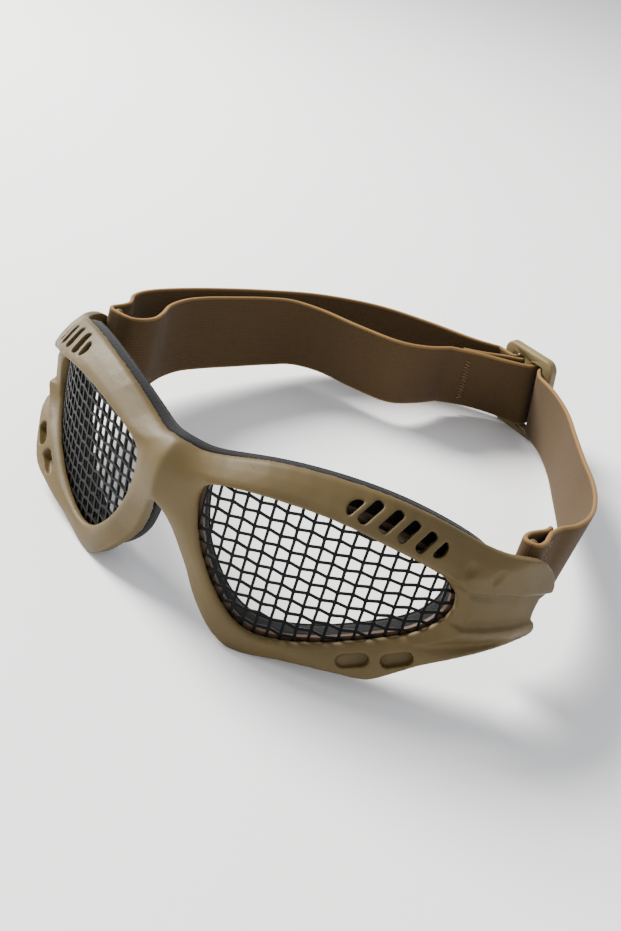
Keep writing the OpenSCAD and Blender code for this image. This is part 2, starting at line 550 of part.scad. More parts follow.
// Sewn end of the strap round the bar on the wearer's left
module strap_end_loop_left() color(webbing_tan) standing()
  webbing([for (r = concat([[75.3, 49], [75.25, 46], [75.95, 42.5], [76.6, 39.5]],
    [for (a = [0:-30:-180]) [(post.x + turn_r * cos(a)) / stretch, post.y + turn_r * sin(a)]],
    [[71.8, 39.5], [72.6, 42.5], [73.7, 46], [73.75, 49]])) upright(r)], 2);

// Bar tack: two rows of thread joined through the webbing by the stitches
thread_d = 0.7;
module bar_tack(depth) {
  for (s = [0, 1]) translate([-tack_l / 2, -thread_d / 2, s * depth - 0.25]) cube([tack_l, thread_d, 0.5]);
  for (i = [0:8]) translate([(i / 8 - 0.5) * (tack_l - thread_d), 0, 0]) cylinder(h = depth, d = 0.6, $fn = 8);
}
tack_depth = 2 * webbing_t + 0.3;
module end_loop_tack() color(thread_tan) standing()
  facing([74.5 * stretch - tack_depth / 2, 46.2, strap_mid_z], [1, 0, 0], [0, 0, 1]) bar_tack(tack_depth);

// Webbing through the slider: up one slot, over the middle bar and down the other
pass_route = [[-slot_out - 5.7, -2.45], [-slot_out - 3, -2.45], [-slot_out - 1.1, -2.5], [-slot_out + 0.6, -2.3],
  [-slot_out + 1.8, -0.6], [-4.4, 2.7], [-2.5, 4], [0, 4.2], [2.5, 4], [4.4, 2.7],
  [slot_out - 1.9, 0], [slot_out - 0.9, -2], [slot_out + 0.7, -3.6], [slot_out + 2.22, -4.78]];
module strap_slider_pass() color(webbing_tan) standing()
  webbing([for (p = pass_route) by_slider(p)], 2);

// Fixed end of the strap: sewn back on itself round the slider's middle bar
bar_route = [[2.45, -2.05], [2.55, 0], [2.5, 1.3], [2.23, 2.13], [1.4, 2.45], [0, 2.5], [-1.4, 2.45],
  [-2.23, 2.13], [-2.5, 1.3], [-2.55, 0], [-3.3, -1.8]];
fixed_in = [[-11, 144, -15, 155], [-3, 152, -7, 164.5], [5, 158, 2.5, 170]];
fixed_back = [[2.5, 162.8, 3, 171.8], [-1, 157.6, -2.5, 169.2], [-4.1, 153.3, -6.8, 166], [-8.4, 148.8, -11.6, 161.3]];
module strap_fixed_end() color(webbing_tan) standing()
  webbing(concat([for (r = fixed_in) upright(r)], [for (p = bar_route) by_slider(p)],
    [for (r = fixed_back) upright(r)]), 2);
tack_side = [-0.67, 0.62, 0.41];
module fixed_end_tack() color(thread_tan) standing()
  facing([-7.5, 155.5, strap_mid_z] - 0.8 * tack_side, tack_side, [0.121, -0.453, 0.883]) bar_tack(tack_depth);

// Three-bar slider
module slider() color(slider_tan) on_the_floor() {
  translate(slider_at) rotate([0, 0, slider_turn]) rotate([slider_lean, 0, 0]) rotate([90, 0, 0])
    linear_extrude(slider_t, center = true) difference() {
      rounded_outline(slider_l, slider_h, slider_corner);
      for (s = [-1, 1]) translate([s * (slider_bar + slot_w) / 2, 0]) rounded_outline(slot_w, slot_h, 1);
    }
}

frame();
mesh_lens_left();
mesh_lens_right();
lens_retainer_left();
lens_retainer_right();
foam_film();
foam_core();
foam_cover();
strap_post_turn_right();
strap_end_loop_left();
end_loop_tack();
strap_left_run();
strap_slider_pass();
strap_outer_run();
strap_inner_run();
strap_fixed_end();
fixed_end_tack();
slider();
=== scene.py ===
import json
import math

import bmesh
import bpy
from mathutils import Matrix, Vector


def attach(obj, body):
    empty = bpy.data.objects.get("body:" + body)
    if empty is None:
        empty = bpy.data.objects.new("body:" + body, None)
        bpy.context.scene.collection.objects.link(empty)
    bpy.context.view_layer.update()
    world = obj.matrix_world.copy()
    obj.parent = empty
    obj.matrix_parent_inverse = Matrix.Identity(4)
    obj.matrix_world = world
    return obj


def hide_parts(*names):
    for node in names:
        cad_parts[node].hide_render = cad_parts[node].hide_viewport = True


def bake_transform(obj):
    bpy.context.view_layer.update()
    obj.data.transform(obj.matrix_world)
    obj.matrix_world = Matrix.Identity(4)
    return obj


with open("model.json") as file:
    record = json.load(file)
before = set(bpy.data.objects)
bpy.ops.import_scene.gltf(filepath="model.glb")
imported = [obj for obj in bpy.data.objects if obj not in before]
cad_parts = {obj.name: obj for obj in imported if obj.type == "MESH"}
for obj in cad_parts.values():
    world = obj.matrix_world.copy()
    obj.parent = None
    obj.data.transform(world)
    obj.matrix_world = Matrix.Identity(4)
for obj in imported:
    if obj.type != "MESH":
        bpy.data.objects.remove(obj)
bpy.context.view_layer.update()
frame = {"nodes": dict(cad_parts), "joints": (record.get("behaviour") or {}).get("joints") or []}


# The view of the photograph. The goggles stand on the nose side of the frame and on the slider, so
# their own drawing, with X to the wearer's left, Y to the back and Z up the frame, is tipped
# forwards by a few degrees. The strap bar's hinge gives that tip, and the place of the drawing.
MM = 0.001
strap_hinge = next(j for j in frame["joints"] if j["name"] == "end_loop_swing")
STRAP_BAR = Vector((74.2, 37.0, -5.0))
forward_tip = math.atan2(strap_hinge["axis"][1], strap_hinge["axis"][2])
tipped = Matrix.Rotation(-forward_tip, 3, "X")
ground_shift = Vector(strap_hinge["pos_m"]) - tipped @ STRAP_BAR * MM


def stood(x, y, z):
    """A place in the goggles' own drawing, in millimetres, as they stand on the ground."""
    return tipped @ Vector((x, y, z)) * MM + ground_shift


# three angles, then three distances in millimetres from the middle of the drawing
VIEW_AZIMUTH, VIEW_RISE, VIEW_ROLL = (math.radians(a) for a in (28.1, 24.72, 17.51))
VIEW_DISTANCE, VIEW_SIDE, VIEW_LIFT = 310.0, -23.62, 0.435
PHOTO_HEIGHT = 931
FOCAL_PIXELS = 1194.3
SENSOR = 36.0

backwards = Vector((
    math.sin(VIEW_AZIMUTH) * math.cos(VIEW_RISE),
    -math.cos(VIEW_AZIMUTH) * math.cos(VIEW_RISE),
    math.sin(VIEW_RISE),
))
level = Vector((math.cos(VIEW_AZIMUTH), math.sin(VIEW_AZIMUTH), 0))
above = backwards.cross(level)
rightwards = math.cos(VIEW_ROLL) * level + math.sin(VIEW_ROLL) * above
upwards = -math.sin(VIEW_ROLL) * level + math.cos(VIEW_ROLL) * above
eye = VIEW_DISTANCE * backwards - VIEW_SIDE * rightwards - VIEW_LIFT * upwards

camera = bpy.data.objects.new("camera", bpy.data.cameras.new("camera"))
bpy.context.scene.collection.objects.link(camera)
camera.data.sensor_fit = "VERTICAL"
camera.data.sensor_height = SENSOR
camera.data.lens = SENSOR * FOCAL_PIXELS / PHOTO_HEIGHT
camera.data.clip_start = 0.01
turned = Matrix((tipped @ rightwards, tipped @ upwards, tipped @ backwards)).transposed()
camera.matrix_world = Matrix.Translation(stood(*eye)) @ turned.to_4x4()
bpy.context.scene.camera = camera


# The studio: a white paper floor under a pale room, one large soft light over the wearer's right
# brow, and a weak one that lifts the other temple.
def hex_colour(code):
    """An sRGB hex colour as linear light, opaque."""
    parts = [int(code[i:i + 2], 16) / 255 for i in (1, 3, 5)]
    return [p / 12.92 if p <= 0.04045 else ((p + 0.055) / 1.055) ** 2.4 for p in parts] + [1.0]


def add(tree, kind, inputs=None, **settings):
    """Adds a shader node. An input is either a value or the socket that feeds it."""
    node = tree.nodes.new("ShaderNode" + kind)
    for name, value in settings.items():
        setattr(node, name, value)
    for name, value in (inputs or {}).items():
        if isinstance(value, bpy.types.NodeSocket):
            tree.links.new(value, node.inputs[name])
        else:
            node.inputs[name].default_value = value
    return node


def new_material(name):
    """A material with an empty node tree, and that tree."""
    material = bpy.data.materials.new(name)
    material.use_nodes = True
    material.node_tree.nodes.clear()
    return material, material.node_tree


def finish_material(tree, inputs):
    """Ends a material with its shader and output."""
    shader = add(tree, "BsdfPrincipled", inputs)
    add(tree, "OutputMaterial", {"Surface": shader.outputs["BSDF"]})


FLOOR_SIZE = 6.0
# uncoated white paper, so it is matt and takes only soft shadows
paper, tree = new_material("white_backdrop_paper")
finish_material(tree, {
    "Base Color": hex_colour("#FAFAFA"), "Roughness": 0.9, "Specular IOR Level": 0.2,
})
floor = bpy.data.objects.new("floor", bpy.data.meshes.new("floor"))
bm = bmesh.new()
bmesh.ops.create_grid(bm, x_segments=1, y_segments=1, size=FLOOR_SIZE / 2)
bm.to_mesh(floor.data)
bm.free()
floor.data.materials.append(paper)
bpy.context.scene.collection.objects.link(floor)

ROOM_LIGHT = 0.80
room = bpy.data.worlds.new("pale_room")
room.use_nodes = True
room_walls = room.node_tree.nodes["Background"]
room_walls.inputs["Color"].default_value = hex_colour("#F4F6FA")
room_walls.inputs["Strength"].default_value = ROOM_LIGHT
bpy.context.scene.world = room

GOGGLES_MIDDLE = Vector((0.0, 0.0, 0.025))


def soft_light(name, place, size, watts, colour):
    """A round soft light that points at the goggles."""
    lamp = bpy.data.lights.new(name, "AREA")
    lamp.shape = "DISK"
    lamp.size = size
    lamp.energy = watts
    lamp.color = hex_colour(colour)[:3]
    light = bpy.data.objects.new(name, lamp)
    light.location = place
    light.rotation_euler = (GOGGLES_MIDDLE - Vector(place)).to_track_quat("-Z", "Y").to_euler()
    bpy.context.scene.collection.objects.link(light)


soft_light("window_light", (-0.95, -0.05, 0.80), 0.6, 50, "#FFFDF8")
soft_light("low_fill", (0.7, -0.7, 0.45), 0.8, 3, "#F4F7FF")


# The frame: one injection moulding in tan glass-filled nylon. It wraps from temple to temple, with
# slots through the brow, and on each side two thumb dimples, two pockets in the lower rail and an
# upright bar for the strap. The tool was lightly sparked, and its edges were eased by hand.
SKIN_JOIN = 0.000002


def own_copy(node, name):
    """A new object with the node's solid, its loose triangles joined into one skin."""
    piece = bpy.data.objects.new(name, frame["nodes"][node].data.copy())
    piece.data.materials.clear()
    bpy.context.scene.collection.objects.link(piece)
    bm = bmesh.new()
    bm.from_mesh(piece.data)
    bmesh.ops.remove_doubles(bm, verts=bm.verts, dist=SKIN_JOIN)
    bm.to_mesh(piece.data)
    bm.free()
    return piece


def settle(piece):
    """Turns the piece's modifiers into its mesh."""
    bpy.context.view_layer.update()
    depsgraph = bpy.context.evaluated_depsgraph_get()
    made = bpy.data.meshes.new_from_object(piece.evaluated_get(depsgraph))
    piece.modifiers.clear()
    piece.data = made
    for face in made.polygons:
        face.use_smooth = True


def modify(piece, kind, **settings):
    """Adds a modifier with its settings."""
    modifier = piece.modifiers.new(kind.lower(), kind)
    for name, value in settings.items():
        setattr(modifier, name, value)


def two_tones(tree, factor, dark, light, first, last):
    """A colour ramp from dark, where the factor is first, to light, where it is last."""
    ramp = add(tree, "ValToRGB", {"Fac": factor})
    for stop, place, code in zip(ramp.color_ramp.elements, (first, last), (dark, light)):
        stop.position = place
        stop.color = hex_colour(code)
    return ramp.outputs["Color"]


def moulded_nylon(name, light, dark, edge):
    """Glass-filled nylon from a sparked tool: satin, with a fine grain and paler edges, partly
    rubbed wear and partly a painted highlight.
    """
    material, tree = new_material(name)
    place = add(tree, "TexCoord").outputs["Object"]
    # the plastic's flow marks are about 30 mm long
    flow = add(tree, "TexNoise", {
        "Vector": place, "Scale": 34.0, "Detail": 3.0, "Roughness": 0.55,
    })
    # the spark grain is drawn 0.45 mm wide, twice as coarse as the real one, so that it shows
    grain = add(tree, "TexNoise", {
        "Vector": place, "Scale": 2200.0, "Detail": 2.0, "Roughness": 0.6,
    })
    body = two_tones(tree, flow.outputs["Fac"], dark, light, 0.35, 0.68)
    speck = add(tree, "MixRGB", {
        "Fac": 0.12, "Color1": body, "Color2": grain.outputs["Color"],
    }, blend_type="OVERLAY")
    # edges are a little paler, partly where hands and cloth rub them and partly as a painted
    # highlight along the rims
    bent = add(tree, "NewGeometry").outputs["Pointiness"]
    rubbed_and_lit_edges = add(tree, "MapRange", {
        "Value": bent, "From Min": 0.56, "From Max": 0.70, "To Min": 0.0, "To Max": 0.4,
    })
    colour = add(tree, "MixRGB", {
        "Fac": rubbed_and_lit_edges.outputs["Result"], "Color1": speck.outputs["Color"],
        "Color2": hex_colour(edge),
    })
    shine = add(tree, "MapRange", {
        "Value": grain.outputs["Fac"], "From Min": 0.3, "From Max": 0.7,
        "To Min": 0.50, "To Max": 0.62,
    })
    pits = add(tree, "Bump", {
        "Height": grain.outputs["Fac"], "Strength": 0.12, "Distance": 0.0001,
    })
    finish_material(tree, {
        "Base Color": colour.outputs["Color"], "Roughness": shine.outputs["Result"],
        "IOR": 1.5, "Specular IOR Level": 0.3, "Normal": pits.outputs["Normal"],
    })
    return material


# The solid's corners are sharp. It is grown a little, covered with a fine even skin, rubbed down so
# that every edge is eased, and brought back to size.
SKIN_GROWTH, SKIN_RETURN = 0.0002, -0.00014
SKIN_CELL = 0.00034
EDGE_ROUNDS = 12
frame_shell = own_copy("frame", "frame_shell")
modify(frame_shell, "DISPLACE", direction="NORMAL", strength=SKIN_GROWTH, mid_level=0.0)
modify(frame_shell, "REMESH", mode="VOXEL", voxel_size=SKIN_CELL, adaptivity=0.0)
modify(frame_shell, "SMOOTH", factor=0.5, iterations=EDGE_ROUNDS)
modify(frame_shell, "DISPLACE", direction="NORMAL", strength=SKIN_RETURN, mid_level=0.0)
settle(frame_shell)

# The nose bridge is one polished saddle, without a crease down its middle, so it is rubbed down
# further there, less and less towards the sides and the rails. Then the skin's mesh is thinned.
BRIDGE_MIDDLE, BRIDGE_HALF_WIDTH, BRIDGE_FADE, BRIDGE_ROUNDS = 0.0008, 0.016, 0.7, 60
BROW_LINE, BROW_FADE = 0.024, 0.006
SKIN_KEPT = 0.53
bridge = frame_shell.vertex_groups.new(name="bridge")
for vertex in frame_shell.data.vertices:
    off_middle = abs(vertex.co.x - BRIDGE_MIDDLE) / BRIDGE_HALF_WIDTH
    if off_middle < 1 and vertex.co.z > BROW_LINE:
        over_brow = min(1, (vertex.co.z - BROW_LINE) / BROW_FADE)
        bridge.add([vertex.index], (1 - off_middle) ** BRIDGE_FADE * over_brow, "REPLACE")
modify(frame_shell, "SMOOTH", factor=0.5, iterations=BRIDGE_ROUNDS, vertex_group="bridge")
modify(frame_shell, "DECIMATE", ratio=SKIN_KEPT)
settle(frame_shell)
frame_tan = moulded_nylon("tan_moulded_nylon", "#584826", "#4D3F20", "#786135")
frame_shell.data.materials.append(frame_tan)
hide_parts("frame")
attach(frame_shell, "goggles")


# The wire lenses: woven steel wire, pressed to the curve of the frame, its crossings locked by a
# baked coat of black powder. The coat rounds every corner and shines a little where it ran thick.
POWDER_COAT = 0.00017
WIRE_ROUNDING, WIRE_CORNER = 0.00014, math.radians(35)

powder, tree = new_material("black_powder_coated_steel")
place = add(tree, "TexCoord").outputs["Object"]
# molten powder draws into lumps about 0.5 mm wide, like orange peel
lumps = add(tree, "TexNoise", {"Vector": place, "Scale": 1800.0, "Detail": 2.0})
coat = two_tones(tree, lumps.outputs["Fac"], "#050506", "#0B0B0C", 0.3, 0.75)
orange_peel = add(tree, "Bump", {
    "Height": lumps.outputs["Fac"], "Strength": 0.2, "Distance": 0.0001,
})
finish_material(tree, {
    "Base Color": coat, "Roughness": 0.5, "IOR": 1.5, "Specular IOR Level": 0.1,
    "Normal": orange_peel.outputs["Normal"],
})

for side in ("left", "right"):
    wires = own_copy(f"mesh_lens_{side}", f"wire_lens_{side}")
    modify(wires, "DISPLACE", direction="NORMAL", strength=POWDER_COAT, mid_level=0.0)
    modify(
        wires, "BEVEL", width=WIRE_ROUNDING, segments=2, limit_method="ANGLE",
        angle_limit=WIRE_CORNER,
    )
    settle(wires)
    wires.data.materials.append(powder)
    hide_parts(f"mesh_lens_{side}")
    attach(wires, "goggles")


# The retaining rings: flat rings moulded in a redder tan nylon, coloured darker than that nylon as
# painted shade, for the shade they sit in. They clip in behind the wire lenses and hold their cut
# edge, and show only as a line through the lower wires.
RING_ROUNDING, RING_CORNER = 0.0002, math.radians(50)
# the ring's tan is darkened here as painted shade, for the shade behind the wire lenses
ring_tan_painted_shade = moulded_nylon("tan_moulded_ring_painted_shade", "#4A3522", "#3A291B", "#5C4430")
for side in ("left", "right"):
    ring = own_copy(f"lens_retainer_{side}", f"clip_ring_{side}")
    modify(
        ring, "BEVEL", width=RING_ROUNDING, segments=2, limit_method="ANGLE",
        angle_limit=RING_CORNER,
    )
    settle(ring)
    ring.data.materials.append(ring_tan_painted_shade)
    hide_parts(f"lens_retainer_{side}")
    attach(ring, "goggles")


# The face seal: closed-cell foam about 5 mm thick, glued to the frame with a thin black film and
# faced with brushed knit for the skin. It is die-cut as one piece and pressed down at its edge.
SEAL_CORNER, CORNER_HOLD = math.radians(40), 0.75
FLAT_ENOUGH, SQUARE_ENOUGH = math.radians(25), math.radians(70)
SEAL_LEVELS = 2


def eased_layer(node, name):
    """The node's ring as smooth cloth or foam, its four long corners kept."""
    layer = own_copy(node, name)
    bm = bmesh.new()
    bm.from_mesh(layer.data)
    bmesh.ops.join_triangles(
        bm, faces=bm.faces, angle_face_threshold=FLAT_ENOUGH, angle_shape_threshold=SQUARE_ENOUGH,
        cmp_seam=False, cmp_sharp=False, cmp_uvs=False, cmp_vcols=False, cmp_materials=False,
    )
    crease = bm.edges.layers.float.new("crease_edge")
    for edge in bm.edges:
        if edge.is_manifold and edge.calc_face_angle(0.0) > SEAL_CORNER:
            edge[crease] = CORNER_HOLD
    bm.to_mesh(layer.data)
    bm.free()
    modify(layer, "SUBSURF", levels=SEAL_LEVELS, render_levels=SEAL_LEVELS)
    settle(layer)
    return layer


def cell_foam(name, light, dark, cell, depth):
    """Closed-cell foam, brushed knit or glue: dull, with fine cells of this width and depth."""
    material, tree = new_material(name)
    place = add(tree, "TexCoord").outputs["Object"]
    cells = add(tree, "TexVoronoi", {"Vector": place, "Scale": 1 / cell})
    # it is a little greyer in patches about 8 mm wide, where it has been handled
    patches = add(tree, "TexNoise", {"Vector": place, "Scale": 120.0, "Detail": 3.0})
    colour = two_tones(tree, patches.outputs["Fac"], dark, light, 0.3, 0.7)
    dents = add(tree, "Bump", {
        "Height": cells.outputs["Distance"], "Strength": 0.5, "Distance": depth,
    })
    finish_material(tree, {
        "Base Color": colour, "Roughness": 0.9, "Specular IOR Level": 0.2,
        "Sheen Weight": 0.06, "Sheen Roughness": 0.5, "Normal": dents.outputs["Normal"],
    })
    return material


foam_charcoal = cell_foam("charcoal_closed_cell_foam", "#161617", "#0F0F10", 0.0006, 0.0002)
knit_black = cell_foam("black_brushed_knit", "#111112", "#0B0B0C", 0.0009, 0.0003)
film_black = cell_foam("black_glue_film", "#0A0A0B", "#070708", 0.002, 0.00005)
for node, name, finish, slot in (
    ("foam_core", "foam_seal", foam_charcoal, "foam_charcoal"),
    ("foam_cover", "seal_facing", knit_black, "cover_black"),
    ("foam_film", "seal_glue_film", film_black, "film_black"),
):
    layer = eased_layer(node, name)
    layer.data.materials.append(finish)
    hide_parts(node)
    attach(layer, "goggles")


# The strap: 25.4 mm knitted elastic, 1.3 mm thick, brown with a paler selvedge that is painted
# paler still as a highlight along its edges. One length is sewn round the wearer's left bar and
# runs back to the slider.
# From there it doubles forwards to the right bar, turns round it, and comes back to be sewn to the
# slider's middle bar.
STRAP_WIDTH, STRAP_THICKNESS = 25.4, 1.3
STRAP_TOP, STRAP_BOTTOM = -5 + STRAP_WIDTH / 2, -5 - STRAP_WIDTH / 2
SLIDER_PLACE = Vector((11.0, 171.0, -4.2))
SLIDER_TURN, SLIDER_LEAN = math.radians(-18), math.radians(14)
BAND_ROWS = 8
RUN_STEP, BEND_STEP = 1.6, 0.8
STRAP_EDGE, STRAP_CORNER = 0.00045, math.radians(60)


def upright_row(row):
    """Top and bottom places of an upright strap, from one place in plan, or one for each edge."""
    low = row[2:] if len(row) > 2 else row
    return Vector((row[0], row[1], STRAP_TOP)), Vector((low[0], low[1], STRAP_BOTTOM))


def slider_row(row):
    """Top and bottom places of a strap in the slider, from one place in the slider's section."""
    turn = Matrix.Rotation(SLIDER_TURN, 3, "Z") @ Matrix.Rotation(SLIDER_LEAN, 3, "X")
    edges = (STRAP_WIDTH / 2, -STRAP_WIDTH / 2)
    return tuple(SLIDER_PLACE + turn @ Vector((row[0], row[1], edge)) for edge in edges)


def curved(rows, spacing):
    """A smooth strap through the rows, with a row about every spacing millimetres."""
    def knot(a, b):
        return max(math.sqrt((b - a).length), 0.05)

    def between(a, b, c, d, u):
        """The place u of the way from b to c, on one smooth curve through all four."""
        t1 = knot(a, b)
        t2 = t1 + knot(b, c)
        t3 = t2 + knot(c, d)
        t = t1 + (t2 - t1) * u
        p = a.lerp(b, t / t1)
        q = b.lerp(c, (t - t1) / (t2 - t1))
        r = c.lerp(d, (t - t2) / (t3 - t2))
        return p.lerp(q, t / t2).lerp(q.lerp(r, (t - t1) / (t3 - t1)), (t - t1) / (t2 - t1))

    def beyond(end, inner):
        """One more row past an end of the strap, straight on."""
        return [2 * p - q for p, q in zip(end, inner)]

    made = []
    route = [beyond(rows[0], rows[1]), *rows, beyond(rows[-1], rows[-2])]
    for before, here, there, after in zip(route, route[1:], route[2:], route[3:]):
        steps = max(2, round((there[0] - here[0]).length / spacing))
        for k in range(steps):
            made.append(tuple(
                between(before[e], here[e], there[e], after[e], k / steps) for e in (0, 1)
            ))
    return made + [tuple(rows[-1])]


def elastic_band(name, rows, start_length=0.0):
    """A length of elastic as a mesh, its UV in metres: U along the strap, V across it."""
    band = bpy.data.objects.new(name, bpy.data.meshes.new(name))
    bpy.context.scene.collection.objects.link(band)
    bm = bmesh.new()
    columns = len(rows) - 1
    bmesh.ops.create_grid(bm, x_segments=columns, y_segments=BAND_ROWS, size=0.5)
    lengths = [start_length]
    for a, b in zip(rows, rows[1:]):
        lengths.append(lengths[-1] + ((a[0] + a[1]) / 2 - (b[0] + b[1]) / 2).length * MM)
    uv = bm.loops.layers.uv.new("strap")
    spots = {v: (round((v.co.x + 0.5) * columns), v.co.y + 0.5) for v in bm.verts}
    for v, (column, across) in spots.items():
        top, low = rows[column]
        v.co = stood(*low.lerp(top, across))
    for face in bm.faces:
        for loop in face.loops:
            column, across = spots[loop.vert]
            loop[uv].uv = (lengths[column], across * STRAP_WIDTH * MM)
    rounded = bm.edges.layers.float.new("bevel_weight_edge")
    for edge in bm.edges:
        on_selvedge = {spots[v][1] for v in edge.verts} in ({0.0}, {1.0})
        edge[rounded] = 1.0 if on_selvedge else 0.0
    bm.to_mesh(band.data)
    bm.free()
    modify(band, "SOLIDIFY", thickness=STRAP_THICKNESS * MM, offset=0.0, use_even_offset=True)
    modify(band, "BEVEL", width=STRAP_EDGE, segments=3, limit_method="WEIGHT")
    settle(band)
    band.data.set_sharp_from_angle(angle=STRAP_CORNER)
    return band, lengths[-1]


# The elastic is polyester yarn knitted over rubber cords, so it is matt and finely ribbed. Its ribs
# run across it, 0.7 mm apart, and the cords raise wales along it, 0.9 mm apart.
RIB, WALE = 0.0007, 0.0009
SELVEDGE_AND_HIGHLIGHT, SELVEDGE_AND_HIGHLIGHT_EDGE = 0.0009, 0.0001


def ripple(tree, value, pitch):
    """0 to 1 and back, once every pitch metres."""
    turns = add(tree, "Math", {0: value, 1: 2 * math.pi / pitch}, operation="MULTIPLY")
    wave = add(tree, "Math", {0: turns.outputs["Value"]}, operation="SINE")
    unit = add(tree, "MapRange", {"Value": wave.outputs["Value"], "From Min": -1.0})
    return unit.outputs["Result"]


elastic, tree = new_material("brown_knitted_elastic")
strap_uv = add(tree, "UVMap", uv_map="strap").outputs["UV"]
along, across = add(tree, "SeparateXYZ", {"Vector": strap_uv}).outputs[:2]
knit = add(tree, "Math", {
    0: ripple(tree, along, RIB), 1: ripple(tree, across, WALE),
}, operation="ADD")
# loose fibres about 0.4 mm long, and faded patches about 17 mm wide
place = add(tree, "TexCoord").outputs["Object"]
fuzz = add(tree, "TexNoise", {"Vector": place, "Scale": 2600.0, "Detail": 2.0})
faded = add(tree, "TexNoise", {"Vector": place, "Scale": 60.0, "Detail": 2.0})
height = add(tree, "Math", {0: knit.outputs["Value"], 1: fuzz.outputs["Fac"]}, operation="ADD")
# the grooves of the knit are painted darker than its ridges, as painted shade; the loose fibres
# vary this at random
ridges_and_shaded_grooves = add(tree, "MapRange", {
    "Value": height.outputs["Value"], "From Min": 0.7, "From Max": 2.2,
    "To Min": 0.0, "To Max": 1.0,
})
yarn_with_groove_shade = add(tree, "MixRGB", {
    "Fac": ridges_and_shaded_grooves.outputs["Result"], "Color1": hex_colour("#3B2D1E"),
    "Color2": hex_colour("#4E3D28"),
})
tone = add(tree, "MixRGB", {
    "Fac": faded.outputs["Fac"], "Color1": yarn_with_groove_shade.outputs["Color"], "Color2": hex_colour("#463621"),
})
# the selvedge is knitted from paler yarn, about 0.9 mm wide at each edge, and its paleness is also
# a painted highlight where the edges catch the light
half_width = STRAP_WIDTH * MM / 2
from_middle = add(tree, "Math", {0: across, 1: half_width}, operation="SUBTRACT")
off_middle = add(tree, "Math", {0: from_middle.outputs["Value"]}, operation="ABSOLUTE")
selvedge_and_highlight = add(tree, "MapRange", {
    "Value": off_middle.outputs["Value"], "From Min": half_width - SELVEDGE_AND_HIGHLIGHT,
    "From Max": half_width - SELVEDGE_AND_HIGHLIGHT_EDGE, "To Min": 0.0, "To Max": 0.9,
})
strap_colour = add(tree, "MixRGB", {
    "Fac": selvedge_and_highlight.outputs["Result"], "Color1": tone.outputs["Color"],
    "Color2": hex_colour("#80623B"),
})
ribbing = add(tree, "Bump", {
    "Height": height.outputs["Value"], "Strength": 0.25, "Distance": 0.00012,
})
finish_material(tree, {
    "Base Color": strap_colour.outputs["Color"], "Roughness": 0.9, "Specular IOR Level": 0.12,
    "Sheen Weight": 0.05, "Sheen Roughness": 0.45, "Normal": ribbing.outputs["Normal"],
})

# The routes in millimetres. The left run goes from the slider forwards to the sewn loop, the outer
# run from the slider to the right bar, and the inner run to that bar from the strap's sewn end.
PASS_LEFT, PASS_RIGHT = (-14, -2.45), (10, -5)
left_rows = curved([slider_row(PASS_RIGHT)] + [upright_row(r) for r in (
    (28, 150.5, 30, 156), (39, 137.5, 40, 142), (50, 120, 51, 123), (60, 104, 60.5, 106),
    (68, 92, 67.5, 92), (74, 80, 72.5, 78), (77.5, 68, 75, 66), (77.5, 58, 75.5, 57),
    (75.6, 52, 75.3, 52), (75.3, 49),
)], RUN_STEP)
outer_rows = curved([slider_row(PASS_LEFT)] + [upright_row(r) for r in (
    (-12, 164.5, -12, 172), (-29, 159, -27, 167), (-47, 150, -46, 158), (-62, 132, -62, 138),
    (-71, 111, -71, 115), (-76.5, 94, -76.5, 96), (-81, 76, -81, 77), (-83, 62), (-82.6, 55),
    (-81, 50.4), (-78.5, 47.2), (-77, 44.4), (-76.6, 41.5),
)], RUN_STEP)
inner_rows = curved([upright_row(r) for r in (
    (-11, 144, -15, 155), (-15, 133, -18, 142), (-22, 125, -23, 132), (-37, 120.5, -37, 128.5),
    (-52, 118, -51, 127), (-61.5, 113, -59, 121), (-66, 104, -62.5, 110), (-70, 90, -66.5, 93),
    (-73, 77, -69.5, 80), (-73.5, 68, -71, 70), (-71.5, 58, -70, 60), (-67.5, 50, -67.5, 51),
    (-65.2, 43.5), (-65.6, 38.5), (-67.4, 35.4), (-71.2, 34.6),
)], RUN_STEP)

BAR_WIDTH, BAR_PLAY = 3.3, 0.1
turn_radius = BAR_WIDTH / 2 + BAR_PLAY + STRAP_THICKNESS / 2


def round_bar(side, angles):
    """Places on the way round a strap bar, on the wearer's left where side is 1, right where -1."""
    return [(
        side * STRAP_BAR.x + turn_radius * math.cos(math.radians(a)),
        STRAP_BAR.y + turn_radius * math.sin(math.radians(a)),
    ) for a in angles]


# the turn round the right bar, the sewn loop round the left one, the wave through the slider, and
# the end that is sewn round the slider's middle bar
turn_rows = curved([upright_row(r) for r in (
    [(-76.6, 41.5), (-76.6, 39.4)] + round_bar(-1, (180, 202.5, 225, 247.5, 270)) + [(-71.2, 34.6)]
)], BEND_STEP)
loop_rows = curved([upright_row(r) for r in (
    [(75.3, 49), (75.25, 46), (75.95, 42.5), (76.6, 39.5)] + round_bar(1, range(0, -181, -30))
    + [(71.8, 39.5), (72.6, 42.5), (73.7, 46), (73.75, 49)]
)], BEND_STEP)
pass_rows = curved([slider_row(r) for r in (
    PASS_LEFT, (-10.5, -2.45), (-8.6, -2.5), (-6.9, -2.3), (-5.7, -0.6), (-4.4, 2.7), (-2.5, 4),
    (0, 4.2), (2.5, 4), (4.4, 2.7), (5.6, 0), (6.6, -2), (8.2, -3.6), PASS_RIGHT,
)], BEND_STEP)
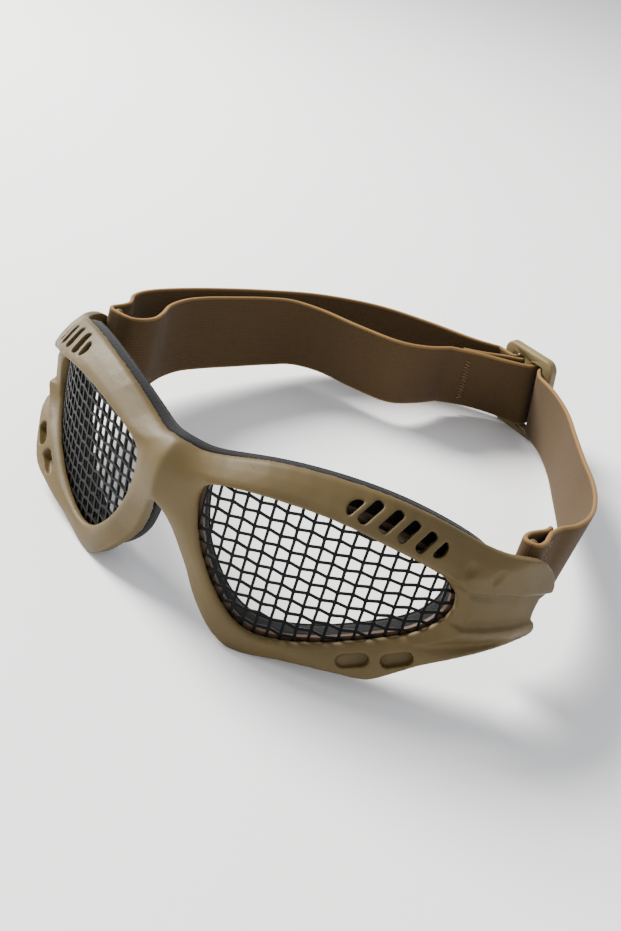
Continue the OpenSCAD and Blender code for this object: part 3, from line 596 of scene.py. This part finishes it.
fixed_rows = curved([upright_row(r) for r in (
    (-11, 144, -15, 155), (-3, 152, -7, 164.5), (5, 158, 2.5, 170),
)] + [slider_row(r) for r in (
    (2.45, -2.05), (2.55, 0), (2.5, 1.3), (2.23, 2.13), (1.4, 2.45), (0, 2.5), (-1.4, 2.45),
    (-2.23, 2.13), (-2.5, 1.3), (-2.55, 0), (-3.3, -1.8),
)] + [upright_row(r) for r in (
    (2.5, 162.8, 3, 171.8), (-1, 157.6, -2.5, 169.2), (-4.1, 153.3, -6.8, 166),
    (-8.4, 148.8, -11.6, 161.3),
)], BEND_STEP)


def strap_run(name, rows, node, first_body, last_body):
    """A free run as two lengths that meet at a still place."""
    half = len(rows) // 2
    length = 0.0
    for part, piece_rows, body in (
        ("back", rows[:half + 1], first_body), ("front", rows[half:], last_body),
    ):
        band, length = elastic_band(f"{name}_{part}", piece_rows, length)
        band.data.materials.append(elastic)
        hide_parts(node)
        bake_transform(band)


strap_run("left_strap", left_rows, "strap_left_run", "slider", "end_loop")
strap_run("outer_strap", outer_rows, "strap_outer_run", "slider", "post_turn")
strap_run("inner_strap", inner_rows, "strap_inner_run", "slider", "post_turn")
for name, rows, node, body in (
    ("right_bar_turn", turn_rows, "strap_post_turn_right", "post_turn"),
    ("left_sewn_loop", loop_rows, "strap_end_loop_left", "end_loop"),
    ("slider_pass", pass_rows, "strap_slider_pass", "slider"),
    ("slider_sewn_end", fixed_rows, "strap_fixed_end", "slider"),
):
    band, _ = elastic_band(name, rows)
    band.data.materials.append(elastic)
    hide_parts(node)
    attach(band, body)


# The slider: a three-bar slider moulded in a paler acetal, with eased edges. The strap's fixed end
# is sewn round its middle bar, and the strap passes over that bar, so sliding it sets the length.
SLIDER_ROUNDING, SLIDER_CORNER = 0.0007, math.radians(40)
slider_tan = moulded_nylon("pale_moulded_acetal", "#7C6C48", "#6C5E3F", "#9C8B63")
slider_ring = own_copy("slider", "strap_slider")
modify(
    slider_ring, "BEVEL", width=SLIDER_ROUNDING, segments=4, limit_method="ANGLE",
    angle_limit=SLIDER_CORNER,
)
settle(slider_ring)
slider_ring.data.materials.append(slider_tan)
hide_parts("slider")
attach(slider_ring, "slider")


# The bar tacks: close zigzags of polyester thread through both layers of webbing, where each end of
# the strap is sewn down. Each is laid on both faces and locked through the webbing by its stitches.
THREAD = 0.36
TACK_LENGTH, TACK_WIDTH, TACK_STITCHES = 20.0, 1.7, 24
TACK_DEPTH = 2 * STRAP_THICKNESS + 0.3


def zigzag_tack(name, start, through, up):
    """A bar tack as thread: a zigzag on each face, the first one's middle at start."""
    through, up = Vector(through).normalized(), Vector(up).normalized()
    across = through.cross(up)
    thread = bpy.data.curves.new(name, "CURVE")
    thread.dimensions = "3D"
    thread.bevel_depth = THREAD / 2 * MM
    thread.bevel_resolution = 1
    thread.use_fill_caps = True
    for depth in (0, TACK_DEPTH):
        row = [
            Vector(start) + depth * through + (k / TACK_STITCHES - 0.5) * TACK_LENGTH * up
            + (k % 2 - 0.5) * TACK_WIDTH * across
            for k in range(TACK_STITCHES + 1)
        ]
        spline = thread.splines.new("POLY")
        spline.points.add(len(row) - 1)
        for point, place in zip(spline.points, row):
            point.co = (*stood(*place), 1)
    laid = bpy.data.objects.new(f"{name}_laid", thread)
    bpy.context.scene.collection.objects.link(laid)
    bpy.context.view_layer.update()
    depsgraph = bpy.context.evaluated_depsgraph_get()
    made = bpy.data.meshes.new_from_object(laid.evaluated_get(depsgraph))
    bpy.data.objects.remove(laid)
    stitches = bpy.data.objects.new(name, made)
    bpy.context.scene.collection.objects.link(stitches)
    return stitches


# the thread is spun polyester, golden and half dull, and its twist shows about every 0.4 mm as dark
# and golden stripes; the golden stripes are partly its colour and partly a painted highlight on
# each turn
polyester, tree = new_material("golden_polyester_thread")
place = add(tree, "TexCoord").outputs["Object"]
twist = add(tree, "TexWave", {
    "Vector": place, "Scale": 900.0, "Distortion": 1.0,
}, bands_direction="DIAGONAL")
strands_and_highlights = add(tree, "MixRGB", {
    "Fac": twist.outputs["Fac"], "Color1": hex_colour("#5E4529"), "Color2": hex_colour("#9A7848"),
})
finish_material(tree, {
    "Base Color": strands_and_highlights.outputs["Color"], "Roughness": 0.6, "Specular IOR Level": 0.3,
    "Sheen Weight": 0.1, "Sheen Roughness": 0.4,
})
# the middle of each tack, its way through the webbing and its long way; the second one leans
for node, name, body, start, through, up in (
    ("end_loop_tack", "loop_stitches", "end_loop",
     (74.5 - TACK_DEPTH / 2, 46.2, -5), (1, 0, 0), (0, 0, 1)),
    ("fixed_end_tack", "slider_end_stitches", "slider",
     (-6.964, 155.004, -5.328), (-0.67, 0.62, 0.41), (0.121, -0.453, 0.883)),
):
    stitches = zigzag_tack(name, start, through, up)
    stitches.data.materials.append(polyester)
    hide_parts(node)
    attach(stitches, body)
